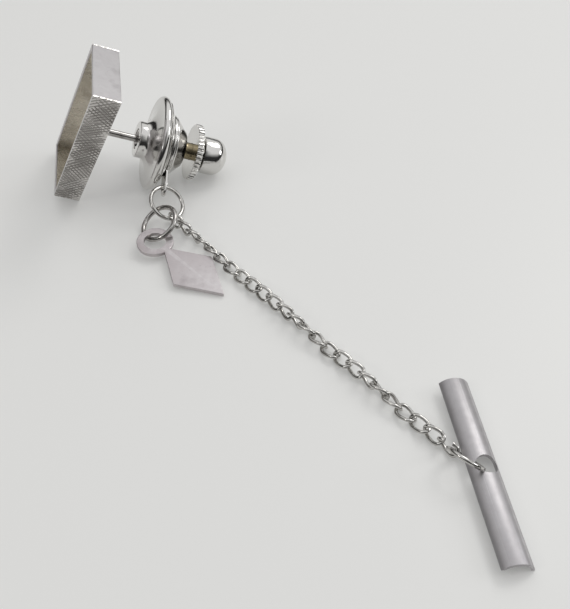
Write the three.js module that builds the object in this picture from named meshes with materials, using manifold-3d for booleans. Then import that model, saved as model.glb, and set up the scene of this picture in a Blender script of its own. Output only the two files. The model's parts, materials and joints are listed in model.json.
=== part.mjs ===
// A tie tack: an engraved parallelogram tray on a round post, a ball-lock clutch with a
// knurled pull knob, two jump rings, a blank tag, a loose curb chain and a toggle bar.
// Units are millimetres and +Z is up. The tack lies on a table as it would be set down:
// the tray stands on its short back edge, the clutch leans on its rim, and the chain runs
// out over the table to the bar.

import * as THREE from 'three';
import { mergeVertices } from 'three/addons/utils/BufferGeometryUtils.js';
import Module from 'manifold-3d';

const wasm = await Module();
wasm.setup();

// ---------------------------------------------------------------- driving dimensions

const fit = 0.04; // gap between metal pieces that touch or turn on each other
const slip = 0.08; // gap where one piece slides along another
const loose = 0.12; // gap between wires that cross on a slant

const tray = {
  shortSide: 8.97,
  longSide: 17.3,
  corner: THREE.MathUtils.degToRad(107.5),
  depth: 2.64,
  wall: 0.5,
  floor: 0.6,
  postAcross: -0.75, // post centre, measured from the tray's centre
  postUp: -0.55,
};

const post = { radius: 0.36, length: 8.6, point: 0.9, groove: 0.07, grooveFromTip: 1.6 };
const postDisc = { radius: 1.3, height: 0.3 }; // let into the tray's back, flush with it

const clutch = {
  postShown: 4.2, // bare post between the tray's back and the clutch
  rimRadius: 5.0,
  rimRoll: 0.42,
  hubRadius: 1.92,
  hubHeight: 2.05, // hub face ahead of the rim's middle plane
  hubNeck: 0.65, // straight part of the hub
  sheet: 0.3,
  dishDepth: 1.15, // back of the dish behind the rim's middle plane
  dishRadius: 3.35,
  coneFront: 3.2,
  coneRear: 1.9,
  coneRearAt: 2.95,
};

const ear = {
  angle: THREE.MathUtils.degToRad(65),
  thickness: 0.28,
  holePastRim: 0.0, // hole centre beyond the bell's rim
  holeRadius: 0.46,
  width: 1.7,
  tipFromHole: 0.95,
};

const lock = {
  ballRadius: 0.38,
  ballCount: 3,
  ballAt: 0.0, // ball centres ahead of the rim's middle plane
  cageOuter: 0.93,
  cageFront: 0.55,
  cageRear: 0.85, // length behind the rim's middle plane
  seatRadius: 1.45,
  seatThickness: 0.25,
  cupNarrow: 1.25,
  cupWide: 1.5,
  cupWall: 0.2,
  cupHalf: 0.55, // half the cup's length
};

const spring = { coilRadius: 1.2, wireRadius: 0.12, turns: 3.5 };
const plunger = { stemRadius: 0.9, discFront: 3.9, discThickness: 0.65, discRadius: 3.0 };
const knob = { radius: 2.0, length: 3.3, collarRadius: 1.25, collarLength: 0.35, shoulder: 0.35 };
const knurl = { teeth: 44, depth: 0.14 };

const ringWire = 0.21; // wire radius of the ring in the ear
const tagRingWire = 0.25;
const earRing = { radius: 1.77, wire: ringWire, cut: 0.05 };
const tagRing = { radius: 1.9, wire: tagRingWire, cut: 0.06 };
const barRing = { radius: 1.55, wire: 0.2, cut: 0.05 };

const tag = {
  side: 5.07,
  corner: THREE.MathUtils.degToRad(61),
  thickness: 0.4,
  eyeOuter: 1.85,
  eyeInner: 1.13,
  eyeFromCorner: 1.2,
};

const link = {
  count: 25,
  pitch: 1.54,
  wire: 0.165,
  length: 2.26,
  width: 1.46,
  fullness: 0.35, // how far the ends are squared off from an ellipse
  twist: THREE.MathUtils.degToRad(66),
  firstRoll: THREE.MathUtils.degToRad(67),
  nearLay: THREE.MathUtils.degToRad(17.5), // turn per link near the clutch
  farLay: THREE.MathUtils.degToRad(29), // turn per link near the bar
  layChange: 13,
  openGap: 0.11, // share of the last link's wire that is missing
};

const bar = { length: 17.4, width: 2.9, crown: 0.95, sheet: 0.28, holeAlong: 0.85, holeAcross: 1.0 };

// How the loose pieces lie, as headings on the table and angles from it, in degrees.
const lie = {
  pin: { azimuth: 8.9, x: -13.75, y: 18.9 },
  earRing: { heading: -75.5, droop: 25.4, bank: -26.7 },
  tagRing: { around: -55.8, heading: -89.2, droop: 10.8, bank: 27.6 },
  tag: { x: -13.08, y: 7.76, heading: -43.2, droop: 3.15 },
  chain: { around: 1, heading: -48.2, lift: 0.02 },
  barRing: { heading: -58.6, droop: -25.1, bank: -50.3, around: 58 },
  bar: { heading: -81.6, roll: -17, ringAlong: 0.1, ringAcross: -0.5 }, // the ring's place in the hole
};

const steel = { color: 0xc9c8c6, roughness: 0.18, metalness: 1 };
const satin = { color: 0xb9b6b8, roughness: 0.42, metalness: 1 };
const brass = { color: 0xb99f6a, roughness: 0.3, metalness: 1 };
const tarnished = { color: 0xa9a4a2, roughness: 0.25, metalness: 1 };

// ---------------------------------------------------------------- small helpers

const TURN = Math.PI * 2;
const degrees = THREE.MathUtils.degToRad;
const lathed = 36;
const ringSides = 8;
const linkSides = 6;
const linkSteps = 18;

function bare(geometry) {
  const plain = geometry.clone();
  plain.deleteAttribute('normal');
  plain.deleteAttribute('uv');
  return mergeVertices(plain, 1e-4);
}

function volumeOf(geometry) {
  const place = geometry.getAttribute('position');
  const index = geometry.getIndex();
  const [a, b, c] = [new THREE.Vector3(), new THREE.Vector3(), new THREE.Vector3()];
  let volume = 0;
  for (let i = 0; i < index.count; i += 3) {
    a.fromBufferAttribute(place, index.getX(i));
    b.fromBufferAttribute(place, index.getX(i + 1));
    c.fromBufferAttribute(place, index.getX(i + 2));
    volume += a.dot(b.cross(c)) / 6;
  }
  return volume;
}

function outward(geometry) {
  const plain = bare(geometry);
  if (volumeOf(plain) < 0) plain.index.array.reverse();
  return plain;
}

function asSolid(geometry) {
  const plain = outward(geometry);
  return new wasm.Manifold(new wasm.Mesh({
    numProp: 3,
    vertProperties: new Float32Array(plain.getAttribute('position').array),
    triVerts: new Uint32Array(plain.getIndex().array),
  }));
}

function asGeometry(solid) {
  const mesh = solid.getMesh();
  const geometry = new THREE.BufferGeometry();
  geometry.setAttribute('position', new THREE.BufferAttribute(mesh.vertProperties, 3));
  geometry.setIndex(new THREE.BufferAttribute(mesh.triVerts, 1));
  return geometry;
}

function cut(geometry, ...cutters) {
  return asGeometry(cutters.reduce((solid, cutter) => solid.subtract(asSolid(cutter)), asSolid(geometry)));
}

function join(...pieces) {
  return asGeometry(pieces.map(asSolid).reduce((solid, piece) => solid.add(piece)));
}

// A turned piece about +Z. The profile holds [radius, height] pairs.
function turned(profile, segments = lathed) {
  const points = profile.map(([radius, height]) => new THREE.Vector2(radius, height));
  return outward(new THREE.LatheGeometry(points, segments).rotateX(Math.PI / 2));
}

// The same, for a profile that closes on itself away from the axis.
function turnedRing(profile, segments = lathed) {
  return turned([...profile, profile[0]], segments);
}

function arcProfile(radius, height, size, from, to, steps) {
  return Array.from({ length: steps + 1 }, (_, i) => {
    const angle = THREE.MathUtils.lerp(from, to, i / steps);
    return [radius + size * Math.cos(angle), height + size * Math.sin(angle)];
  });
}

function extruded(shape, depth, curveSegments = 12) {
  return new THREE.ExtrudeGeometry(shape, { depth, bevelEnabled: false, curveSegments });
}

function roundSection(radius, sides) {
  const points = Array.from({ length: sides }, (_, i) => {
    const angle = (TURN * (i + 0.5)) / sides;
    return new THREE.Vector2(radius * Math.cos(angle), radius * Math.sin(angle));
  });
  return new THREE.Shape(points);
}

function wireAlong(path, radius, sides, steps) {
  const options = { extrudePath: path, steps, bevelEnabled: false, curveSegments: 1 };
  return outward(new THREE.ExtrudeGeometry(roundSection(radius, sides), options));
}

function named(name, geometry, finish) {
  const mesh = new THREE.Mesh(geometry, new THREE.MeshStandardMaterial(finish));
  mesh.name = name;
  return mesh;
}

// A turning frame whose x runs away from a hang point: heading on the table, droop below
// it, then bank about x.
function hangingFrame({ heading, droop, bank = 0 }) {
  const turn = new THREE.Matrix4().makeRotationZ(degrees(heading));
  turn.multiply(new THREE.Matrix4().makeRotationY(degrees(droop)));
  return turn.multiply(new THREE.Matrix4().makeRotationX(degrees(bank)));
}

function placed(mesh, frame, origin) {
  mesh.quaternion.setFromRotationMatrix(frame);
  mesh.position.copy(origin);
  return mesh;
}

// A local point of a placed frame, in the parent's space.
function pointOf(frame, origin, x, y, z) {
  return new THREE.Vector3(x, y, z).applyMatrix4(frame).add(origin);
}

// ---------------------------------------------------------------- tray

// The tray's outline, inset from its outer sides, about the post's axis.
function trayOutline(inset) {
  const lean = tray.corner - Math.PI / 2;
  const halfHeight = (tray.longSide * Math.cos(lean)) / 2;
  const slope = Math.tan(lean);
  const halfWidth = tray.shortSide / 2;
  const height = halfHeight - inset;
  const width = halfWidth - inset / Math.cos(lean);
  const corner = (side, end) => new THREE.Vector2(
    side * width + end * height * slope - tray.postAcross,
    end * height - tray.postUp,
  );
  return [corner(1, 1), corner(-1, 1), corner(-1, -1), corner(1, -1)];
}

const trayBack = clutch.hubHeight + clutch.postShown;
const trayLowest = Math.min(...trayOutline(0).map((point) => point.y));

function makeTray() {
  const plate = new THREE.Shape(trayOutline(0));
  plate.holes.push(new THREE.Path().absarc(0, 0, post.radius + fit, 0, TURN, true));
  const floor = extruded(plate, tray.floor, 10);
  const frame = new THREE.Shape(trayOutline(0));
  frame.holes.push(new THREE.Path(trayOutline(tray.wall)));
  const walls = extruded(frame, tray.depth - tray.floor).translate(0, 0, tray.floor);
  const seatRadius = postDisc.radius + fit;
  const seat = new THREE.CylinderGeometry(seatRadius, seatRadius, 2 * (postDisc.height + fit), 32);
  const pan = cut(join(floor, walls), seat.rotateX(Math.PI / 2));
  return named('head_tray', pan.translate(0, 0, trayBack), satin);
}

function makePost() {
  const foot = trayBack + tray.floor - fit;
  const tip = foot - post.length;
  const grooveAt = tip + post.grooveFromTip;
  const slim = post.radius - post.groove;
  const profile = [
    [0, tip],
    [0.12, tip + 0.04],
    [post.radius, tip + post.point],
    [post.radius, grooveAt - 0.15],
    [slim, grooveAt],
    [slim, grooveAt + 0.2],
    [post.radius, grooveAt + 0.35],
    [post.radius, foot],
    [0, foot],
  ];
  return named('post', turned(profile, 20), tarnished);
}

function makePostDisc() {
  const inner = post.radius + fit;
  const profile = [
    [inner, trayBack],
    [postDisc.radius, trayBack],
    [postDisc.radius, trayBack + postDisc.height],
    [inner, trayBack + postDisc.height],
  ];
  return named('post_disc', turnedRing(profile, 24), tarnished);
}

// ---------------------------------------------------------------- clutch shell

const rimMiddle = clutch.rimRadius - clutch.rimRoll;
const ferruleRadius = 1.05;
const ferruleWall = 0.3;

// The bell's concave sweep from the hub to the rim, grown inwards by a sheet's thickness.
function bellSweep(grown, steps) {
  const across = rimMiddle - clutch.hubRadius + grown;
  const neck = clutch.hubHeight - clutch.hubNeck;
  const along = neck - clutch.rimRoll + grown;
  return Array.from({ length: steps + 1 }, (_, i) => {
    const angle = (Math.PI / 2) * (i / steps);
    return [rimMiddle - across * Math.cos(angle), neck - along * Math.sin(angle)];
  });
}

// The bell: hub face, concave sweep, rolled rim, and the same sheet back inside.
function makeFrontShell() {
  const { hubRadius, hubHeight, sheet, rimRoll } = clutch;
  const bore = ferruleRadius + fit;
  const outer = [
    [bore, hubHeight],
    [hubRadius - 0.25, hubHeight],
    [hubRadius, hubHeight - 0.25],
    ...bellSweep(0, 7),
    ...arcProfile(rimMiddle, 0, rimRoll, Math.PI / 2, -Math.PI / 2, 8).slice(1),
  ];
  const inner = [
    [rimMiddle - 0.05, -rimRoll],
    ...bellSweep(sheet, 5).reverse(),
    [hubRadius - sheet, hubHeight - sheet],
    [bore, hubHeight - sheet],
  ];
  return named('front_shell', turnedRing([...outer, ...inner]), steel);
}

// The funnel that leads the post into the hub.
function makeFerrule() {
  const face = clutch.hubHeight - 0.05;
  const inner = post.radius + slip;
  const bottom = lock.cageFront + slip;
  const profile = [
    [ferruleRadius, face - 0.08],
    [ferruleRadius - 0.1, face],
    [inner + 0.2, face - 0.25],
    [inner, face - 0.45],
    [inner, bottom],
    [inner + ferruleWall, bottom],
    [ferruleRadius, bottom + 0.2],
  ];
  return named('entry_ferrule', turnedRing(profile, 24), steel);
}

function makeRearShell() {
  const { dishDepth, dishRadius, rimRoll, sheet } = clutch;
  const seam = rimMiddle - 0.05;
  const front = -rimRoll - fit;
  const bore = lock.seatRadius + 0.25;
  const profile = [
    [seam, front],
    [seam + 0.1, front - 0.12],
    [dishRadius + 0.3, -dishDepth + 0.12],
    [dishRadius, -dishDepth],
    [bore, -dishDepth],
    [bore, -dishDepth + sheet],
    [dishRadius - 0.2, -dishDepth + sheet],
    [seam - 0.5, front],
  ];
  return named('rear_shell', turnedRing(profile), steel);
}

const earHoleFromAxis = clutch.rimRadius + ear.holePastRim;

// A washer with a tab; the tab carries the first ring.
function makeEarPlate() {
  const front = -clutch.dishDepth - fit;
  const washer = new THREE.Shape().absarc(0, 0, clutch.dishRadius, 0, TURN, false);
  washer.holes.push(new THREE.Path().absarc(0, 0, lock.seatRadius + 0.25, 0, TURN, true));
  const half = ear.width / 2;
  const tip = earHoleFromAxis + ear.tipFromHole;
  const tab = new THREE.Shape();
  tab.moveTo(2.4, -half);
  tab.lineTo(earHoleFromAxis - 0.1, -half * 0.92);
  tab.quadraticCurveTo(earHoleFromAxis + 0.6, -half * 0.8, tip, 0);
  tab.quadraticCurveTo(earHoleFromAxis + 0.6, half * 0.8, earHoleFromAxis - 0.1, half * 0.92);
  tab.lineTo(2.4, half);
  tab.closePath();
  const hole = new THREE.Path().absarc(earHoleFromAxis, 0, ear.holeRadius, 0, TURN, true);
  tab.holes.push(hole);
  const flat = join(extruded(washer, ear.thickness, 16), extruded(tab, ear.thickness, 6));
  flat.rotateZ(ear.angle - Math.PI / 2);
  return named('ear_plate', flat.translate(0, 0, front - ear.thickness), steel);
}

const coneFrontAt = clutch.dishDepth + ear.thickness + 2 * fit;
const stemBore = plunger.stemRadius + slip;

function makeRearCone() {
  const { coneFront, coneRear, coneRearAt, sheet } = clutch;
  const profile = [
    [coneFront, -coneFrontAt],
    [coneFront, -coneFrontAt - 0.15],
    [coneRear + 0.1, -coneRearAt + 0.12],
    [coneRear - 0.05, -coneRearAt],
    [stemBore, -coneRearAt],
    [stemBore, -coneRearAt + sheet],
    [coneRear - sheet, -coneRearAt + sheet],
    [coneFront - 2 * sheet, -coneFrontAt],
  ];
  return named('rear_cone', turnedRing(profile), satin);
}

// The hardened cup whose taper wedges the balls on the post.
function makeTaperCup() {
  const front = lock.ballAt + lock.cupHalf;
  const back = lock.ballAt - lock.cupHalf;
  const profile = [
    [lock.cupNarrow, front],
    [lock.cupNarrow + lock.cupWall, front],
    [lock.cupWide + lock.cupWall, back],
    [lock.cupWide, back],
  ];
  return named('taper_cup', turnedRing(profile, 28), steel);
}

// ---------------------------------------------------------------- plunger

const cageRearAt = -lock.cageRear;
const discFrontAt = -plunger.discFront;
const discRearAt = discFrontAt - plunger.discThickness;

function makeCage() {
  const inner = post.radius + slip;
  const seatFront = cageRearAt + lock.seatThickness;
  const profile = [
    [inner, lock.cageFront],
    [lock.cageOuter, lock.cageFront],
    [lock.cageOuter, seatFront],
    [lock.seatRadius, seatFront],
    [lock.seatRadius, cageRearAt],
    [inner, cageRearAt],
  ];
  const windows = Array.from({ length: lock.ballCount }, (_, i) => {
    const window = new THREE.CylinderGeometry(lock.ballRadius + slip, lock.ballRadius + slip, 1.2, 14);
    window.rotateZ(Math.PI / 2).translate(0.9, 0, lock.ballAt);
    return window.rotateZ((TURN * i) / lock.ballCount);
  });
  return named('ball_cage', cut(turnedRing(profile, 24), ...windows), brass);
}

function makeBalls() {
  return Array.from({ length: lock.ballCount }, (_, i) => {
    const ball = new THREE.IcosahedronGeometry(lock.ballRadius, 2);
    const reach = post.radius + lock.ballRadius + fit;
    ball.translate(reach, 0, lock.ballAt).rotateZ((TURN * i) / lock.ballCount);
    return named(`lock_ball_${i + 1}`, outward(ball), steel);
  });
}

class Helix extends THREE.Curve {
  constructor(radius, from, to, turns) {
    super();
    Object.assign(this, { radius, from, to, turns });
  }

  getPoint(t, target = new THREE.Vector3()) {
    const angle = TURN * this.turns * t;
    const height = THREE.MathUtils.lerp(this.from, this.to, t);
    return target.set(this.radius * Math.cos(angle), this.radius * Math.sin(angle), height);
  }
}

function makeSpring() {
  const room = fit + spring.wireRadius;
  const front = cageRearAt - room;
  const back = -clutch.coneRearAt + clutch.sheet + room;
  const path = new Helix(spring.coilRadius, front, back, spring.turns);
  return named('return_spring', wireAlong(path, spring.wireRadius, 6, 56), steel);
}

function makeStem() {
  const bore = post.radius + slip;
  const front = cageRearAt - fit;
  const profile = [
    [bore, front],
    [plunger.stemRadius, front],
    [plunger.stemRadius, discFrontAt + 0.01 - fit],
    [plunger.stemRadius, discRearAt + 0.1],
    [bore, discRearAt + 0.1],
  ];
  return named('plunger_stem', turnedRing(profile, 24), brass);
}

// A coin edge: rounded teeth around a flat disc.
function makeDisc() {
  const steps = knurl.teeth * 2;
  const outline = Array.from({ length: steps }, (_, i) => {
    const radius = plunger.discRadius - (i % 2) * knurl.depth;
    const angle = (TURN * i) / steps;
    return new THREE.Vector2(radius * Math.cos(angle), radius * Math.sin(angle));
  });
  const shape = new THREE.Shape(outline);
  shape.holes.push(new THREE.Path().absarc(0, 0, plunger.stemRadius + fit, 0, TURN, true));
  const disc = extruded(shape, plunger.discThickness, 12).translate(0, 0, discRearAt);
  return named('knurled_disc', outward(disc), steel);
}

function makeKnob() {
  const front = discRearAt - fit;
  const shoulderAt = front - knob.collarLength;
  const domeAt = front - knob.length + knob.radius * 0.75;
  const dome = Array.from({ length: 8 }, (_, i) => {
    const angle = ((Math.PI / 2) * i) / 7;
    return [knob.radius * Math.cos(angle), domeAt - knob.radius * 0.75 * Math.sin(angle)];
  });
  dome[dome.length - 1][0] = 0;
  const profile = [
    [0, front],
    [knob.collarRadius, front],
    [knob.collarRadius, shoulderAt],
    [knob.radius - 0.25, shoulderAt],
    [knob.radius, shoulderAt - knob.shoulder],
    ...dome,
  ];
  return named('pull_knob', turned(profile, 28), steel);
}

// ---------------------------------------------------------------- pin in its lie

// The tray's lower back edge and the clutch rim both touch the table, which sets how far
// the post rises.
function pinRise() {
  const reach = Math.hypot(trayBack, rimMiddle + trayLowest);
  const droop = Math.atan2(rimMiddle + trayLowest, trayBack);
  return Math.asin(-clutch.rimRoll / reach) - droop;
}

function pinFrame() {
  const azimuth = degrees(lie.pin.azimuth);
  const rise = pinRise();
  const axis = new THREE.Vector3(
    -Math.cos(rise) * Math.cos(azimuth),
    -Math.cos(rise) * Math.sin(azimuth),
    Math.sin(rise),
  );
  const side = new THREE.Vector3(Math.sin(azimuth), -Math.cos(azimuth), 0);
  const up = new THREE.Vector3().crossVectors(axis, side);
  return new THREE.Matrix4().makeBasis(side, up, axis);
}

const pinTurn = pinFrame();
const pinHeight = rimMiddle * Math.cos(pinRise()) + clutch.rimRoll;
const pinOrigin = new THREE.Vector3(lie.pin.x, lie.pin.y, pinHeight);

function makePin() {
  const pin = new THREE.Group();
  pin.add(makeTray(), makePostDisc(), makePost());
  pin.add(makeFerrule(), makeFrontShell(), makeRearShell(), makeEarPlate(), makeRearCone(), makeTaperCup());
  pin.add(makeSpring(), makeCage(), ...makeBalls(), makeStem(), makeDisc(), makeKnob());
  return placed(pin, pinTurn, pinOrigin);
}

// ---------------------------------------------------------------- rings and tag

class RingPath extends THREE.Curve {
  constructor(radius, cutShare, cutAt) {
    super();
    Object.assign(this, { radius, cutShare, cutAt });
  }

  getPoint(t, target = new THREE.Vector3()) {
    const angle = this.cutAt + TURN * (this.cutShare / 2 + (1 - this.cutShare) * t);
    return target.set(this.radius * (1 + Math.cos(angle)), this.radius * Math.sin(angle), 0);
  }
}

// A cut wire ring in its own XY plane, hung from its wire at the origin.
function makeRing(name, ring, cutAt, finish) {
  const path = new RingPath(ring.radius, ring.cut / TURN, degrees(cutAt));
  return named(name, wireAlong(path, ring.wire, ringSides, 24), finish);
}

const earMiddle = -clutch.dishDepth - fit - ear.thickness / 2;
const earDirection = ear.angle - Math.PI / 2;
const earHole = pointOf(
  pinTurn,
  pinOrigin,
  earHoleFromAxis * Math.cos(earDirection),
  earHoleFromAxis * Math.sin(earDirection),
  earMiddle,
);
const earRingTurn = hangingFrame(lie.earRing);

// The hang point of a piece threaded on a ring, a given angle round from the far side.
function onRing(turn, origin, ring, around, wire) {
  const reach = ring.radius - ring.wire - wire - loose;
  const angle = degrees(around);
  return pointOf(turn, origin, ring.radius + reach * Math.cos(angle), reach * Math.sin(angle), 0);
}

const tagRingTurn = hangingFrame(lie.tagRing);
const tagRingAt = onRing(earRingTurn, earHole, earRing, lie.tagRing.around, tagRing.wire);

function makeTag() {
  const half = tag.corner / 2;
  const long = 2 * tag.side * Math.cos(half);
  const wide = tag.side * Math.sin(half);
  const start = tag.eyeFromCorner;
  const plate = new THREE.Shape([
    new THREE.Vector2(start, 0),
    new THREE.Vector2(start + long / 2, wide),
    new THREE.Vector2(start + long, 0),
    new THREE.Vector2(start + long / 2, -wide),
  ]);
  const eye = new THREE.Shape().absarc(0, 0, tag.eyeOuter, 0, TURN, false);
  const flat = join(extruded(plate, tag.thickness), extruded(eye, tag.thickness, 14));
  const hole = new THREE.CylinderGeometry(tag.eyeInner, tag.eyeInner, 2, 24).rotateX(Math.PI / 2);
  return named('tag', cut(flat, hole), satin);
}

const tagTurn = hangingFrame(lie.tag);
const tagLength = tag.eyeFromCorner + 2 * tag.side * Math.cos(tag.corner / 2);

// The plate's far corner rests on the table.
function tagOrigin() {
  const corner = pointOf(tagTurn, new THREE.Vector3(), tagLength, 0, 0);
  return new THREE.Vector3(lie.tag.x, lie.tag.y, -corner.z);
}

// ---------------------------------------------------------------- chain

class LinkPath extends THREE.Curve {
  constructor(from, to) {
    super();
    Object.assign(this, { from, to });
  }

  getPoint(t, target = new THREE.Vector3()) {
    const angle = TURN * THREE.MathUtils.lerp(this.from, this.to, t);
    const reach = link.length / 2 - link.wire;
    const along = reach * Math.cos(angle);
    const full = 1 + link.fullness * Math.cos(angle) ** 2;
    const across = (link.width / 2 - link.wire) * full * Math.sin(angle);
    const twist = (-link.twist * along) / (2 * reach);
    return target.set(along, across * Math.cos(twist), across * Math.sin(twist));
  }
}

function linkGeometry() {
  return outward(new THREE.TubeGeometry(new LinkPath(0, 1), linkSteps, link.wire, linkSides, true));
}

// The last link's wire ends short of closing, on the side away from its neighbour.
function openLinkGeometry() {
  return wireAlong(new LinkPath(0.8, 1.8 - link.openGap), link.wire, linkSides, linkSteps);
}

function linkRoll(index) {
  const near = Math.min(index, link.layChange - 1);
  const far = Math.max(index - link.layChange + 1, 0);
  return link.firstRoll + near * link.nearLay + far * link.farLay;
}

// How far a link at this roll reaches below its own middle.
function linkDrop(roll) {
  const path = new LinkPath(0, 1);
  const heights = Array.from({ length: 2 * linkSteps }, (_, i) => {
    const point = path.getPoint(i / (2 * linkSteps));
    return point.y * Math.sin(roll) + point.z * Math.cos(roll);
  });
  return Math.max(...heights) + link.wire;
}

const chainStart = onRing(earRingTurn, earHole, earRing, lie.chain.around, link.wire);
const chainHeading = new THREE.Vector3(
  Math.cos(degrees(lie.chain.heading)),
  Math.sin(degrees(lie.chain.heading)),
  0,
);
const chainReach = link.length / 2 - link.wire;

function linkMiddle(index) {
  const along = chainReach + index * link.pitch;
  const middle = chainStart.clone().addScaledVector(chainHeading, along);
  middle.z = linkDrop(linkRoll(index)) + lie.chain.lift;
  return middle;
}

// A link's x runs along the chain, and its y lies level before the link is rolled.
function linkTurn(index) {
  const before = index === 0 ? chainStart : linkMiddle(index - 1);
  const along = linkMiddle(index + 1).sub(before).normalize();
  const across = new THREE.Vector3(0, 0, 1).cross(along).normalize();
  const up = along.clone().cross(across);
  const frame = new THREE.Matrix4().makeBasis(along, across, up);
  return frame.multiply(new THREE.Matrix4().makeRotationX(linkRoll(index)));
}

function makeChain() {
  const closed = linkGeometry();
  return Array.from({ length: link.count }, (_, index) => {
    const last = index === link.count - 1;
    const name = `chain_link_${String(index + 1).padStart(2, '0')}`;
    const mesh = named(name, last ? openLinkGeometry() : closed, steel);
    return placed(mesh, linkTurn(index), linkMiddle(index));
  });
}

// ---------------------------------------------------------------- bar and its ring

const chainEndTurn = linkTurn(link.count - 1);
const chainEndReach = chainReach - link.wire - barRing.wire - fit;
const barRingAt = pointOf(chainEndTurn, linkMiddle(link.count - 1), chainEndReach, 0, 0);
const barRingTurn = hangingFrame(lie.barRing);

function barSection() {
  const half = bar.width / 2;
  const outer = (half * half + bar.crown * bar.crown) / (2 * bar.crown);
  const inner = outer - bar.sheet;
  const middle = bar.crown - outer;
  const from = Math.atan2(-middle, half);
  const shape = new THREE.Shape();
  shape.absarc(0, middle, outer, from, Math.PI - from, false);
  const innerFrom = Math.asin(-middle / inner);
  shape.absarc(0, middle, inner, Math.PI - innerFrom, innerFrom, true);
  shape.closePath();
  return shape;
}

// The channel runs along x, with its open side down and its edges in the XY plane.
function makeBar() {
  const channel = extruded(barSection(), bar.length, 14).translate(0, 0, -bar.length / 2);
  channel.rotateX(Math.PI / 2).rotateZ(Math.PI / 2);
  const hole = new THREE.CylinderGeometry(1, 1, 4, 20).rotateX(Math.PI / 2);
  return named('t_bar', cut(channel, hole.scale(bar.holeAlong, bar.holeAcross, 1)), satin);
}

const barTurn = new THREE.Matrix4().makeRotationZ(degrees(lie.bar.heading));
barTurn.multiply(new THREE.Matrix4().makeRotationX(degrees(lie.bar.roll)));
const barRingAround = degrees(lie.barRing.around);
const barRingInHole = pointOf(
  barRingTurn,
  barRingAt,
  barRing.radius * (1 + Math.cos(barRingAround)),
  barRing.radius * Math.sin(barRingAround),
  0,
);

// The ring's far side lies against the edge of the hole, and the channel's low edge on the table.
function barOrigin() {
  const hole = pointOf(barTurn, new THREE.Vector3(), lie.bar.ringAlong, lie.bar.ringAcross, bar.crown);
  const origin = barRingInHole.clone().sub(hole);
  origin.z = (bar.width / 2) * Math.abs(Math.sin(degrees(lie.bar.roll)));
  return origin;
}

// ---------------------------------------------------------------- assembly

const lyingTack = new THREE.Group();
lyingTack.add(makePin());
lyingTack.add(placed(makeRing('jump_ring_1', earRing, 200, steel), earRingTurn, earHole));
lyingTack.add(placed(makeRing('jump_ring_2', tagRing, 120, tarnished), tagRingTurn, tagRingAt));
lyingTack.add(placed(makeTag(), tagTurn, tagOrigin()));
lyingTack.add(...makeChain());
lyingTack.add(placed(makeRing('bar_ring', barRing, 90, steel), barRingTurn, barRingAt));
lyingTack.add(placed(makeBar(), barTurn, barOrigin()));

// The origin is the middle of the footprint, on the table.
const box = new THREE.Box3().setFromObject(lyingTack, true);
const middle = box.getCenter(new THREE.Vector3());
lyingTack.position.set(-middle.x, -middle.y, -box.min.z);

const tieTack = new THREE.Group();
tieTack.add(lyingTack);

export default tieTack;
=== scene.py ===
"""A tie tack lying on a pale table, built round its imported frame.

The tack has an engraved parallelogram tray on a round post, a ball-lock clutch with a knurled
pull knob, two jump rings with a blank tag, a curb chain and a half-round toggle bar.
Sizes are in millimetres until a mesh is placed; places are read from the frame.
"""

import json
import logging
import math
import random
from dataclasses import dataclass
from enum import Enum
from typing import Iterable, Sequence

import bmesh
import bpy
import numpy as np
from mathutils import Matrix, Vector

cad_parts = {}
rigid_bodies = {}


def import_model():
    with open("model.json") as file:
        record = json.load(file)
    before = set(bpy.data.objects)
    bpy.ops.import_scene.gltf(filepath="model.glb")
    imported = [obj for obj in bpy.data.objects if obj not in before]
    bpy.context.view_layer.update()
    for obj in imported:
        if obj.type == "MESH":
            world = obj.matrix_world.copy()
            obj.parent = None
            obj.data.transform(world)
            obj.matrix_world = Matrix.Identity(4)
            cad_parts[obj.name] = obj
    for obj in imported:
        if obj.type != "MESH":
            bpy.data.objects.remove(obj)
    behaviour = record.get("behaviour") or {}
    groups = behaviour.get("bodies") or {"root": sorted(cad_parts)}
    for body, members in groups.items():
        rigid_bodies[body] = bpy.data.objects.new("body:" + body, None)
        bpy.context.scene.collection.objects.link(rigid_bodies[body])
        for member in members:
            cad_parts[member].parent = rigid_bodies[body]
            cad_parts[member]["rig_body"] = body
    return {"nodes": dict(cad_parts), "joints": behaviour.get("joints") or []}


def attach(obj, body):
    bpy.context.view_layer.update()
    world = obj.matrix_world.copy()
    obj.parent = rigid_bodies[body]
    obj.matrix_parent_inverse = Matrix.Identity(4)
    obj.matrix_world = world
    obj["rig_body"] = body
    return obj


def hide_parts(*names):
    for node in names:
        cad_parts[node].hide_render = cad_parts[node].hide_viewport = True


LOG = logging.getLogger("tie_tack")
MM = 0.001
TURN = 2.0 * math.pi
CUT = "cut_depth"
SMOOTHEST = 0.03
MERGE = 1e-5
LEVEL = 1e-6
Profile = list[tuple[float, float]]
Mesh = bmesh.types.BMesh
Socket = bpy.types.NodeSocket


class Slot(Enum):
    """The record's material slots."""

    BRIGHT = "bright_nickel"
    SATIN = "satin_nickel"
    WORN = "worn_nickel"
    BRASS = "brass"


# ---------------------------------------------------------------- places


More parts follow.
